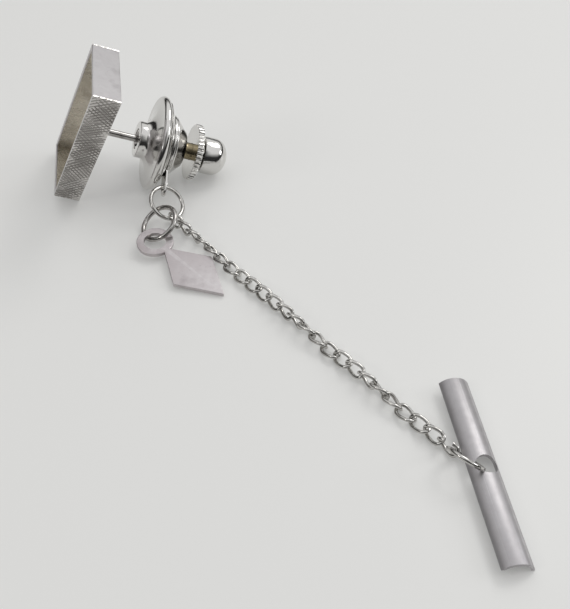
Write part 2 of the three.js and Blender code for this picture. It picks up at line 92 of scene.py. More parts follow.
@dataclass(frozen=True)
class Lie:
    """A turned frame in the row's space: millimetres in, metres out."""

    matrix: Matrix

    @classmethod
    def of_axes(cls, origin: Vector, x: Vector, y: Vector, z: Vector) -> "Lie":
        """Builds the frame from its origin in metres and three unit directions."""
        turn = Matrix((x, y, z)).transposed().to_4x4()
        return cls(Matrix.Translation(origin) @ turn @ Matrix.Scale(MM, 4))

    @classmethod
    def of_node(cls, node: bpy.types.Object) -> "Lie":
        """Finds the frame of a wire loop or a strip from how its vertices spread.

        Args:
            node: The CAD node, whose longest spread becomes x and whose thinnest becomes z.

        Returns:
            The frame, with its origin at the middle of the node's vertices.
        """
        points = np.array([v.co for v in node.data.vertices])
        points = np.unique(np.round(points, 8), axis=0)
        middle = points.mean(axis=0)
        spread, axes = np.linalg.eigh(np.cov((points - middle).T))
        order = np.argsort(spread)[::-1]
        x, y = Vector(axes[:, order[0]]), Vector(axes[:, order[1]])
        return cls.of_axes(Vector(middle), x, y, x.cross(y))

    def inside(self, node: bpy.types.Object) -> np.ndarray:
        """Gives a node's vertices in this frame, in millimetres.

        Args:
            node: The CAD node.

        Returns:
            One row of three for each vertex.
        """
        back = np.array(self.matrix.inverted())
        points = np.array([v.co for v in node.data.vertices])
        return points @ back[:3, :3].T + back[:3, 3]


@dataclass(frozen=True)
class Frame:
    """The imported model: its nodes, and the joints by name."""

    nodes: dict[str, bpy.types.Object]
    joints: dict[str, dict]

    @classmethod
    def loaded(cls) -> "Frame":
        """Loads the frame and sorts its joints by name.

        Returns:
            The frame.
        """
        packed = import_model()
        joints = {joint["name"]: joint for joint in packed["joints"]}
        return cls(packed["nodes"], joints)

    def pin_lie(self) -> Lie:
        """Gives the pin's frame: z towards the tray, x level towards the viewer, y up.

        Returns:
            The frame, with its origin where the clutch's rim plane meets the axis.
        """
        axis = -Vector(self.joints["clutch_slide"]["axis"]).normalized()
        origin = Vector(self.joints["clutch_spin"]["pos_m"])
        side = Vector((0, 0, 1)).cross(axis).normalized()
        return Lie.of_axes(origin, side, axis.cross(side), axis)

    def body_of(self, node: str) -> str:
        """Names the body that a node belongs to."""
        return self.nodes[node]["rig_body"]


# ---------------------------------------------------------------- shader groups


class Nodes:
    """A node tree under construction, with short ways to add and link its nodes."""

    def __init__(self, tree: bpy.types.NodeTree) -> None:
        """Takes the tree to add to."""
        self.tree = tree

    @classmethod
    def of(cls, owner: bpy.types.Material | bpy.types.World) -> "Nodes":
        """Turns on the nodes of a material or a world and clears them.

        Args:
            owner: The material or world.

        Returns:
            Its empty tree, ready to build.
        """
        owner.use_nodes = True
        owner.node_tree.nodes.clear()
        return cls(owner.node_tree)

    def add(self, kind: str, **values: object) -> bpy.types.Node:
        """Adds a node, with its properties, input values and links.

        Args:
            kind: The node's type.
            **values: Properties by name, or inputs as i_NAME or i_NUMBER.

        Returns:
            The node.
        """
        node = self.tree.nodes.new(kind)
        for label, value in values.items():
            if not label.startswith("i_"):
                setattr(node, label, value)
                continue
            key = label[2:]
            socket = node.inputs[int(key) if key.isdigit() else key.replace("_", " ")]
            if isinstance(value, Socket):
                self.tree.links.new(value, socket)
            else:
                socket.default_value = value
        return node

    def math(self, operation: str, first: object, second: object) -> Socket:
        """Works out a number from two others."""
        return self.add("ShaderNodeMath", operation=operation, i_0=first, i_1=second).outputs[0]

    def ranged(
        self, value: Socket, low: object, high: object, new_low: float = 0.0, new_high: float = 1.0
    ) -> Socket:
        """Takes a value between two limits to a place between two new ones."""
        node = self.add("ShaderNodeMapRange", i_0=value, i_1=low, i_2=high, i_3=new_low, i_4=new_high)
        return node.outputs[0]

    def mixed(self, mask: Socket, low: object, high: object) -> Socket:
        """Mixes two colours by a mask."""
        return self.add("ShaderNodeMix", data_type="RGBA", i_0=mask, i_6=low, i_7=high).outputs[2]

    def placed(self, name: str, vector: Socket, **values: float) -> bpy.types.Node:
        """Places a shared group, with its values for this metal.

        Args:
            name: The group's name.
            vector: The place that its patterns read.
            **values: Its inputs by name.

        Returns:
            The group's node.
        """
        node = self.add("ShaderNodeGroup", node_tree=bpy.data.node_groups[name])
        self.tree.links.new(vector, node.inputs["Vector"])
        for label, value in values.items():
            node.inputs[label].default_value = value
        return node


class Group(Nodes):
    """A shader node group under construction."""

    def __init__(self, name: str, inputs: dict[str, float], outputs: dict[str, str]) -> None:
        """Makes the group's sockets.

        Args:
            name: The group's name.
            inputs: Float inputs and their usual values.
            outputs: Outputs and their socket types.
        """
        super().__init__(bpy.data.node_groups.new(name, "ShaderNodeTree"))
        self.tree.interface.new_socket("Vector", in_out="INPUT", socket_type="NodeSocketVector")
        for label, usual in inputs.items():
            socket = self.tree.interface.new_socket(label, in_out="INPUT", socket_type="NodeSocketFloat")
            socket.default_value = usual
        for label, kind in outputs.items():
            self.tree.interface.new_socket(label, in_out="OUTPUT", socket_type=kind)
        self.start = self.add("NodeGroupInput")
        self.end = self.add("NodeGroupOutput")

    def taken(self, label: str) -> Socket:
        """Gives one of the group's inputs."""
        return self.start.outputs[label]

    def give(self, **values: Socket) -> None:
        """Links the group's outputs."""
        for label, socket in values.items():
            self.tree.links.new(socket, self.end.inputs[label])


def mottle_group() -> None:
    """Builds the handling marks: a soft mask of clouds and small specks, from 0 to 1."""
    group = Group("mottle", {"Scale": 400.0, "Cover": 0.5, "Specks": 0.3}, {"Mask": "NodeSocketFloat"})
    softness, finer, speck_low, speck_high = 0.28, 9.0, 0.66, 0.74
    vector, scale = group.taken("Vector"), group.taken("Scale")
    clouds = group.add("ShaderNodeTexNoise", i_Vector=vector, i_Scale=scale, i_Detail=6.0, i_Roughness=0.62)
    cover = group.math("SUBTRACT", 1.0, group.taken("Cover"))
    soft = group.ranged(clouds.outputs["Fac"], cover, group.math("ADD", cover, softness))
    fine = group.math("MULTIPLY", scale, finer)
    grit = group.add("ShaderNodeTexNoise", i_Vector=vector, i_Scale=fine, i_Detail=2.0)
    dots = group.ranged(grit.outputs["Fac"], speck_low, speck_high)
    group.give(Mask=group.math("MAXIMUM", soft, group.math("MULTIPLY", dots, group.taken("Specks"))))


def scratch_group() -> None:
    """Builds fine directional polishing lines: a value for roughness and a bumped normal."""
    group = Group(
        "scratches",
        {"Scale": 900.0, "Stretch": 12.0, "Depth": 0.1},
        {"Value": "NodeSocketFloat", "Normal": "NodeSocketVector"},
    )
    height = 0.00004
    stretch = group.add("ShaderNodeCombineXYZ", i_0=1.0, i_1=group.taken("Stretch"), i_2=1.0).outputs[0]
    across = group.add(
        "ShaderNodeVectorMath", operation="MULTIPLY", i_0=group.taken("Vector"), i_1=stretch
    ).outputs[0]
    lines = group.add(
        "ShaderNodeTexNoise", i_Vector=across, i_Scale=group.taken("Scale"), i_Detail=3.0, i_Roughness=0.7
    ).outputs["Fac"]
    bump = group.add("ShaderNodeBump", i_Strength=group.taken("Depth"), i_Distance=height, i_Height=lines)
    group.give(Value=lines, Normal=bump.outputs["Normal"])


def rubbed_group() -> None:
    """Builds the wear mask: high where an edge or ridge stands out."""
    group = Group("rubbed_edges", {"Amount": 0.6, "Scale": 1500.0}, {"Mask": "NodeSocketFloat"})
    flat, sharp = 0.5, 0.62
    edge = group.add("ShaderNodeNewGeometry")
    high = group.ranged(edge.outputs["Pointiness"], flat, sharp)
    broken = group.add(
        "ShaderNodeTexNoise", i_Vector=group.taken("Vector"), i_Scale=group.taken("Scale"), i_Detail=4.0
    )
    patchy = group.math("MULTIPLY", high, broken.outputs["Fac"])
    group.give(Mask=group.math("MULTIPLY", patchy, group.taken("Amount")))


@dataclass(frozen=True)
class Metal:
    """A plated or bare metal: its colour, the tarnish on it and how finely it is polished."""

    name: str
    colour: tuple[float, float, float]
    tarnish: tuple[float, float, float]
    rubbed: tuple[float, float, float]
    roughness: float
    uneven: float = 0.12
    cover: float = 0.42
    specks: float = 0.25
    mottle: float = 420.0
    grain: float = 900.0
    stretch: float = 10.0
    depth: float = 0.12
    wear: float = 0.6
    turn: tuple[float, float, float] = (0.0, 0.0, 0.0)
    # The colour laid along the engraved cuts, blended in by how deep they cut.
    cut_colour: tuple[float, float, float] | None = None

    def material(self) -> bpy.types.Material:
        """Builds the metal's material once and gives it back on each call.

        Returns:
            The material, with its shader and groups linked.
        """
        known = bpy.data.materials.get(self.name)
        if known:
            return known
        material = bpy.data.materials.new(self.name)
        nodes = Nodes.of(material)
        place = nodes.add("ShaderNodeTexCoord").outputs["Object"]
        turned = nodes.add("ShaderNodeMapping", i_Vector=place, i_Rotation=self.turn).outputs[0]
        mottle = nodes.placed("mottle", turned, Scale=self.mottle, Cover=self.cover, Specks=self.specks)
        lines = nodes.placed("scratches", turned, Scale=self.grain, Stretch=self.stretch, Depth=self.depth)
        rubbed = nodes.placed("rubbed_edges", turned, Amount=self.wear)
        dull = nodes.mixed(mottle.outputs["Mask"], (*self.colour, 1.0), (*self.tarnish, 1.0))
        colour = nodes.mixed(rubbed.outputs["Mask"], dull, (*self.rubbed, 1.0))
        # Darkens the colour along the engraved cuts towards near black, more where they cut deeper.
        if self.cut_colour:
            cut = nodes.add("ShaderNodeAttribute", attribute_name=CUT)
            colour = nodes.mixed(cut.outputs["Fac"], colour, (*self.cut_colour, 1.0))
        smooth = max(self.roughness - self.uneven / 2, SMOOTHEST)
        rough = nodes.ranged(lines.outputs["Value"], 0.0, 1.0, smooth, self.roughness + self.uneven)
        shader = nodes.add(
            "ShaderNodeBsdfPrincipled",
            i_Base_Color=colour,
            i_Metallic=1.0,
            i_Roughness=rough,
            i_Normal=lines.outputs["Normal"],
        )
        nodes.add("ShaderNodeOutputMaterial", i_Surface=shader.outputs[0])
        return material


BRIGHT = Metal(
    "bright_plate", (0.68, 0.67, 0.65), (0.40, 0.38, 0.35), (0.93, 0.92, 0.90), 0.09, 0.06, 0.36
)
# A darker copy of the bright plate for the chain and two of the rings: partly the chain's own tone, partly
# painted shade for the shade and dark reflections that the links show.
CHAIN = Metal(
    "chain_plate", (0.54, 0.53, 0.51), (0.18, 0.165, 0.15), (0.95, 0.94, 0.92), 0.12, 0.08, 0.50, 0.5
)
WORN = Metal(
    "worn_plate", (0.42, 0.405, 0.39), (0.15, 0.14, 0.125), (0.85, 0.84, 0.82), 0.15, 0.10, 0.50, 0.5
)
SATIN = Metal(
    "satin_plate", (0.62, 0.60, 0.607), (0.40, 0.38, 0.387), (0.90, 0.89, 0.90), 0.30, 0.12, 0.45, 0.3,
    grain=1500.0, stretch=1.0, depth=0.35,
)
# The engraved walls turn near black along their cuts, more where they cut deeper.
ENGRAVED = Metal(
    "engraved_plate", (0.74, 0.715, 0.69), (0.26, 0.24, 0.22), (0.97, 0.96, 0.94), 0.20, 0.12, 0.40, 0.5,
    grain=1400.0, stretch=4.0, depth=0.3, wear=1.0, cut_colour=(0.055, 0.048, 0.04),
)
INSIDE = Metal(
    "tray_inside", (0.86, 0.83, 0.77), (0.44, 0.41, 0.36), (0.85, 0.83, 0.80), 0.22, 0.16, 0.50, 0.4,
    mottle=260.0, grain=260.0, stretch=9.0, depth=0.35,
)
BAR_SATIN = Metal(
    "bar_satin", (0.43, 0.415, 0.425), (0.33, 0.315, 0.325), (0.86, 0.85, 0.86), 0.46, 0.06, 0.35, 0.4,
    grain=1700.0, stretch=0.08, depth=0.22, turn=(0.0, 0.0, math.radians(81.6)),
)
TAG_SATIN = Metal(
    "tag_satin", (0.52, 0.48, 0.487), (0.34, 0.305, 0.315), (0.95, 0.94, 0.94), 0.30, 0.14, 0.45, 0.5,
    grain=1600.0, stretch=1.0, depth=0.4,
)
BRASS = Metal("bare_brass", (0.34, 0.285, 0.18), (0.12, 0.10, 0.06), (0.80, 0.72, 0.52), 0.22)


# ---------------------------------------------------------------- mesh making


def filleted(points: Profile, radius: float, steps: int = 4, closed: bool = False) -> Profile:
    """Rounds the corners of an outline.

    Args:
        points: The outline's corners.
        radius: How far from a corner its rounding starts, at most.
        steps: Points along each rounding.
        closed: Whether the outline closes on itself.

    Returns:
        The outline with each corner drawn as a short curve.
    """
    count = len(points)
    result: Profile = []
    for i, (x, y) in enumerate(points):
        if not closed and i in (0, count - 1):
            result.append((x, y))
            continue
        here = Vector((x, y))
        before, after = Vector(points[i - 1]), Vector(points[(i + 1) % count])
        reach = min(radius, (before - here).length * 0.45, (after - here).length * 0.45)
        start = here + (before - here).normalized() * reach
        end = here + (after - here).normalized() * reach
        for k in range(steps + 1):
            t = k / steps
            result.append(tuple(start * (1 - t) ** 2 + here * 2 * t * (1 - t) + end * t * t))
    return result


def arc(x: float, y: float, radius: float, start: float, end: float, steps: int) -> Profile:
    """Gives points on an arc about (x, y), with its angles in degrees."""
    angles = [math.radians(start + (end - start) * i / steps) for i in range(steps + 1)]
    return [(x + radius * math.cos(a), y + radius * math.sin(a)) for a in angles]


def spun(profile: Profile, steps: int = 96, closed: bool = True) -> Mesh:
    """Spins an outline of (radius, height) about z.

    Args:
        profile: The outline, which starts and ends on the axis or closes on itself.
        steps: Faces round the turn.
        closed: Whether the outline closes on itself.

    Returns:
        The turned shape, in millimetres.
    """
    mesh = bmesh.new()
    verts = [mesh.verts.new((radius, 0.0, height)) for radius, height in profile]
    pairs = list(zip(verts, verts[1:]))
    if closed:
        pairs.append((verts[-1], verts[0]))
    edges = [mesh.edges.new(pair) for pair in pairs]
    bmesh.ops.spin(
        mesh, geom=verts + edges, cent=(0, 0, 0), axis=(0, 0, 1), dvec=(0, 0, 0),
        angle=TURN, steps=steps, use_merge=True, use_duplicate=False,
    )
    bmesh.ops.remove_doubles(mesh, verts=mesh.verts, dist=MERGE)
    bmesh.ops.recalc_face_normals(mesh, faces=mesh.faces)
    return mesh


def slab(outline: Profile, low: float, high: float, edge: float = 0.0) -> Mesh:
    """Raises an outline in the xy plane to a slab with softened edges.

    Args:
        outline: The slab's outline.
        low: Its lower height.
        high: Its upper height.
        edge: The width of the bevel round its two faces.

    Returns:
        The slab, in millimetres.
    """
    mesh = bmesh.new()
    face = mesh.faces.new([mesh.verts.new((x, y, low)) for x, y in outline])
    raised = bmesh.ops.extrude_face_region(mesh, geom=[face])
    upper = [g for g in raised["geom"] if isinstance(g, bmesh.types.BMVert)]
    bmesh.ops.translate(mesh, verts=upper, vec=(0, 0, high - low))
    bmesh.ops.recalc_face_normals(mesh, faces=mesh.faces)
    if edge:
        rims = [e for e in mesh.edges if abs(e.verts[0].co.z - e.verts[1].co.z) < LEVEL]
        soften(mesh, rims, edge)
    return mesh


def hollow(mesh: Mesh, wall: float, drop: float) -> None:
    """Insets a slab's upper face and sinks it, which leaves a wall round it.

    Args:
        mesh: The slab.
        wall: How thick a wall is left.
        drop: How far the face sinks.
    """
    top = max(mesh.faces, key=lambda face: face.calc_center_median().z)
    bmesh.ops.inset_region(mesh, faces=[top], thickness=wall, use_even_offset=True)
    top = max(mesh.faces, key=lambda face: (round(face.calc_center_median().z, 4), face.calc_area()))
    sunk = bmesh.ops.extrude_discrete_faces(mesh, faces=[top])["faces"]
    bmesh.ops.translate(mesh, verts=sunk[0].verts, vec=(0, 0, -drop))
    bmesh.ops.recalc_face_normals(mesh, faces=mesh.faces)


def soften(mesh: Mesh, edges: Sequence[bmesh.types.BMEdge], width: float) -> None:
    """Bevels edges with three rounded faces.

    Args:
        mesh: The mesh to change.
        edges: The edges to bevel.
        width: The bevel's width.
    """
    bmesh.ops.bevel(
        mesh, geom=list(edges), offset=width, offset_type="OFFSET", affect="EDGES",
        segments=3, profile=0.5, material=-1, clamp_overlap=True,
    )


def wire(points: Iterable[Sequence[float]], radius: float, closed: bool, sides: int = 4) -> Mesh:
    """Runs a round wire along points.

    Args:
        points: The wire's middle line, in millimetres.
        radius: The wire's radius.
        closed: Whether the wire closes on itself.
        sides: The curve's bevel resolution.

    Returns:
        The wire's mesh, in millimetres.
    """
    path = list(points)
    curve = bpy.data.curves.new("wire", "CURVE")
    curve.dimensions = "3D"
    curve.bevel_depth = radius
    curve.bevel_resolution = sides
    curve.use_fill_caps = True
    spline = curve.splines.new("POLY")
    spline.points.add(len(path) - 1)
    for place, point in zip(spline.points, path):
        place.co = (*point, 1.0)
    spline.use_cyclic_u = closed
    holder = bpy.data.objects.new("wire", curve)
    mesh = bmesh.new()
    made = bpy.data.meshes.new_from_object(holder)
    mesh.from_mesh(made)
    bpy.data.objects.remove(holder)
    bpy.data.curves.remove(curve)
    bpy.data.meshes.remove(made)
    bmesh.ops.remove_doubles(mesh, verts=mesh.verts, dist=MERGE)
    bmesh.ops.recalc_face_normals(mesh, faces=mesh.faces)
    return mesh


def cut_through(mesh: Mesh, cutter: Mesh) -> Mesh:
    """Cuts one solid out of another and frees both.

    Args:
        mesh: The solid to cut.
        cutter: The solid to take away.

    Returns:
        What is left of the first solid.
    """
    holders = []
    for name, source in (("body", mesh), ("cutter", cutter)):
        data = bpy.data.meshes.new(name)
        source.to_mesh(data)
        source.free()
        holder = bpy.data.objects.new(name, data)
        bpy.context.scene.collection.objects.link(holder)
        holders.append(holder)
    modifier = holders[0].modifiers.new("cut", "BOOLEAN")
    modifier.operation = "DIFFERENCE"
    modifier.solver = "EXACT"
    modifier.object = holders[1]
    depsgraph = bpy.context.evaluated_depsgraph_get()
    made = bpy.data.meshes.new_from_object(holders[0].evaluated_get(depsgraph))
    result = bmesh.new()
    result.from_mesh(made)
    for holder in holders:
        data = holder.data
        bpy.data.objects.remove(holder)
        bpy.data.meshes.remove(data)
    bpy.data.meshes.remove(made)
    return result


@dataclass
class Piece:
    """A finished piece, on its way to the scene."""

    name: str
    mesh: Mesh
    metal: Metal
    slot: Slot
    stands_for: str
    crease: float = 32.0
    flat: float = 1.2

    def set_down(self, frame: Frame, lie: Lie) -> bpy.types.Object:
        """Places the piece, dresses it and puts it on its body.

        Args:
            frame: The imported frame.
            lie: Where the piece lies.

        Returns:
            The piece's object.
        """
        bmesh.ops.transform(self.mesh, matrix=lie.matrix, verts=self.mesh.verts)
        limit = math.radians(self.crease)
        for face in self.mesh.faces:
            face.smooth = face.calc_area() < self.flat * MM * MM
        for edge in self.mesh.edges:
            edge.smooth = edge.is_manifold and edge.calc_face_angle(0.0) < limit
        data = bpy.data.meshes.new(self.name)
        self.mesh.to_mesh(data)
        self.mesh.free()
        data.materials.append(self.metal.material())
        piece = bpy.data.objects.new(self.name, data)
        bpy.context.scene.collection.objects.link(piece)
        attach(piece, frame.body_of(self.stands_for))
        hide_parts(self.stands_for)
        LOG.info("%s: %d faces", self.name, len(data.polygons))
        return piece


# ---------------------------------------------------------------- tray and post


@dataclass
class Tray:
    """The parallelogram tray, with engraving on its long walls and a polished inside."""

    short_side: float = 8.97
    long_side: float = 17.3
    corner: float = math.radians(107.5)
    depth: float = 2.64
    wall: float = 0.5
    floor: float = 0.6
    across: float = -0.75
    up: float = -0.55
    soft: float = 0.07
    bedded: float = 0.01
    pan_below: float = 0.12
    pan_sheet: float = 0.03
    skin: float = 0.12
    groove: float = 0.09
    ground: float = 0.4
    ground_cuts: int = 2
    shallowest: float = 0.004
    pitch: float = 0.36
    cut_share: float = 0.62
    patches: int = 64
    grid: float = 0.036
    seed: int = 7

    def outline(self, inset: float, end_inset: float | None = None) -> Profile:
        """Gives the tray's outline about the post's axis.

        Args:
            inset: How far the long sides are drawn in.
            end_inset: How far the short sides are drawn in, if it differs.

        Returns:
            The four corners.
        """
        lean = self.corner - math.pi / 2
        height = self.long_side * math.cos(lean) / 2 - (inset if end_inset is None else end_inset)
        width = self.short_side / 2 - inset / math.cos(lean)
        slope = math.tan(lean)
        corners = ((1, 1), (-1, 1), (-1, -1), (1, -1))
        return [(s * width + e * height * slope - self.across, e * height - self.up) for s, e in corners]

    def build(self, frame: Frame, lie: Lie) -> None:
        """Builds the tray, its polished inside and its engraved walls.

        Args:
            frame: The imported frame.
            lie: The pin's frame.
        """
        back = float(lie.inside(frame.nodes["head_tray"])[:, 2].min())
        parts = (
            ("head_tray_shell", self._shell(back), SATIN, 15.0),
            ("head_tray_inside", self._inside(back), INSIDE, 15.0),
            ("engraving_near", self._engraving(back, 1), ENGRAVED, 60.0),
            ("engraving_far", self._engraving(back, -1), ENGRAVED, 60.0),
        )
        for name, mesh, metal, crease in parts:
            Piece(name, mesh, metal, Slot.SATIN, "head_tray", crease).set_down(frame, lie)

    def _shell(self, back: float) -> Mesh:
        """Raises the walls round the floor and softens every edge a little.

        Args:
            back: The height of the tray's back along the post.

        Returns:
            The tray without its engraving.
        """
        mesh = slab(self.outline(self.skin, 0.0), back, back + self.depth)
        hollow(mesh, self.wall - self.skin, self.depth - self.floor)
        soften(mesh, [e for e in mesh.edges if e.is_manifold and e.calc_face_angle(0) > 0.5], self.soft)
        return mesh

    def _inside(self, back: float) -> Mesh:
        """Lines the inside with a thin polished pan that ends just below the rim.

        Args:
            back: The height of the tray's back along the post.

        Returns:
            The pan.
        """
        low, high = back + self.floor - 2 * self.bedded, back + self.depth - self.pan_below
        mesh = slab(self.outline(self.wall - self.bedded), low, high)
        hollow(mesh, self.pan_sheet, self.depth - self.floor - self.pan_below - self.pan_sheet)
        return mesh

    def _engraving(self, back: float, side: int) -> Mesh:
        """Cuts a thin plate with patches of parallel strokes that cross each other.

        Args:
            back: The height of the tray's back along the post.
            side: 1 for the wall towards the viewer, -1 for the far one.

        Returns:
            A closed plate that covers the wall.
        """
        corners = self.outline(0.0)
        start, end = (corners[0], corners[3]) if side > 0 else (corners[2], corners[1])
        along = Vector((end[0] - start[0], end[1] - start[1], 0.0))
        length = along.length
        along.normalize()
        down = Vector((0, 0, -1))
        out = along.cross(down)
        mesh = bmesh.new()
        columns, rows = int(length / self.grid), int(self.depth / self.grid)
        bmesh.ops.create_grid(mesh, x_segments=columns, y_segments=rows, size=0.5)
        bmesh.ops.scale(mesh, verts=mesh.verts, vec=(length, self.depth, 1.0))
        places = np.array([vert.co for vert in mesh.verts])
        cut = mesh.verts.layers.float.new(CUT)
        for vert, depth in zip(mesh.verts, self._strokes(places[:, 0], places[:, 1], side)):
            vert.co.z = -depth
            vert[cut] = min(1.0, depth / self.groove)
        rim = [edge for edge in mesh.edges if edge.is_boundary]
        pulled = bmesh.ops.extrude_edge_only(mesh, edges=rim)["geom"]
        for vert in [g for g in pulled if isinstance(g, bmesh.types.BMVert)]:
            vert.co.z = -self.skin - 2 * self.bedded
        bmesh.ops.holes_fill(mesh, edges=[e for e in mesh.edges if e.is_boundary], sides=0)
        bmesh.ops.recalc_face_normals(mesh, faces=mesh.faces)
        middle = Vector(((start[0] + end[0]) / 2, (start[1] + end[1]) / 2, back + self.depth / 2))
        turn = Matrix((along, down, out)).transposed().to_4x4()
        bmesh.ops.transform(mesh, matrix=Matrix.Translation(middle) @ turn, verts=mesh.verts)
        return mesh

    def _strokes(self, x: np.ndarray, y: np.ndarray, side: int) -> np.ndarray:
        """Gives the depth of the graver's cuts: patches of parallel strokes laid over each other.

        Args:
            x: Places along the wall, in millimetres from its middle.
            y: Places across the wall.
            side: Which wall, so that the two differ.

        Returns:
            The depth at each place.
        """
        draw = random.Random(self.seed * side)
        depth = np.full(x.shape, self.shallowest)
        for number in range(self.patches):
            near_x = x - self.long_side * ((number + draw.random()) / self.patches - 0.5)
            near_y = y - self.depth * draw.uniform(-0.45, 0.45)
            lean = (1 if number % 2 else -1) * math.radians(draw.uniform(42, 62))
            along = near_x * math.cos(lean) + near_y * math.sin(lean)
            across = near_y * math.cos(lean) - near_x * math.sin(lean)
            wave = np.abs((across / self.pitch + draw.random()) % 1.0 - 0.5) * 2.0
            stroke = np.clip(1.0 - wave / self.cut_share, 0.0, 1.0) * draw.uniform(0.6, 1.0)
            patch = np.abs(along) < draw.uniform(1.0, 2.0)
            patch &= np.abs(across) < draw.uniform(0.5, 0.9)
            share = self.ground if number < self.ground_cuts else patch
            depth = np.maximum(depth, self.groove * stroke * share)
        return depth


@dataclass
class Post:
    """The post with its collar and the groove near its tip."""

    radius: float = 0.36
    blunt: float = 0.12
    nose: float = 0.04
    taper: float = 0.9
    groove: float = 0.07
    groove_from: float = 1.45
    groove_slope: float = 0.15
    groove_floor: float = 0.2
    collar: float = 1.3
    collar_proud: float = 0.02
    collar_height: float = 0.2
    collar_gap: float = 0.04

    def build(self, frame: Frame, lie: Lie) -> None:
        """Builds the post and its collar.

        Args:
            frame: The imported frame.
            lie: The pin's frame.
        """
        reach = lie.inside(frame.nodes["post"])[:, 2]
        tip, foot = float(reach.min()), float(reach.max())
        slim = self.radius - self.groove
        cut = tip + self.groove_from
        slope, flat = self.groove_slope, self.groove_floor
        outline = [(0.0, tip), (self.blunt, tip + self.nose), (self.radius, tip + self.taper)]
        outline += [(self.radius, cut), (slim, cut + slope), (slim, cut + slope + flat)]
        outline += [(self.radius, cut + 2 * slope + flat), (self.radius, foot), (0.0, foot)]
        post = spun(filleted(outline, 0.1), 64, closed=False)
        Piece("post_turned", post, WORN, Slot.WORN, "post").set_down(frame, lie)
        face = float(lie.inside(frame.nodes["post_disc"])[:, 2].min()) - self.collar_proud
        bore, high = self.radius + self.collar_gap, face + self.collar_height
        rim = [(bore, face), (self.collar, face), (self.collar, high), (bore, high)]
        collar = spun(filleted(rim, 0.03, closed=True), 64)
        Piece("post_collar", collar, WORN, Slot.WORN, "post_disc").set_down(frame, lie)


# ---------------------------------------------------------------- clutch


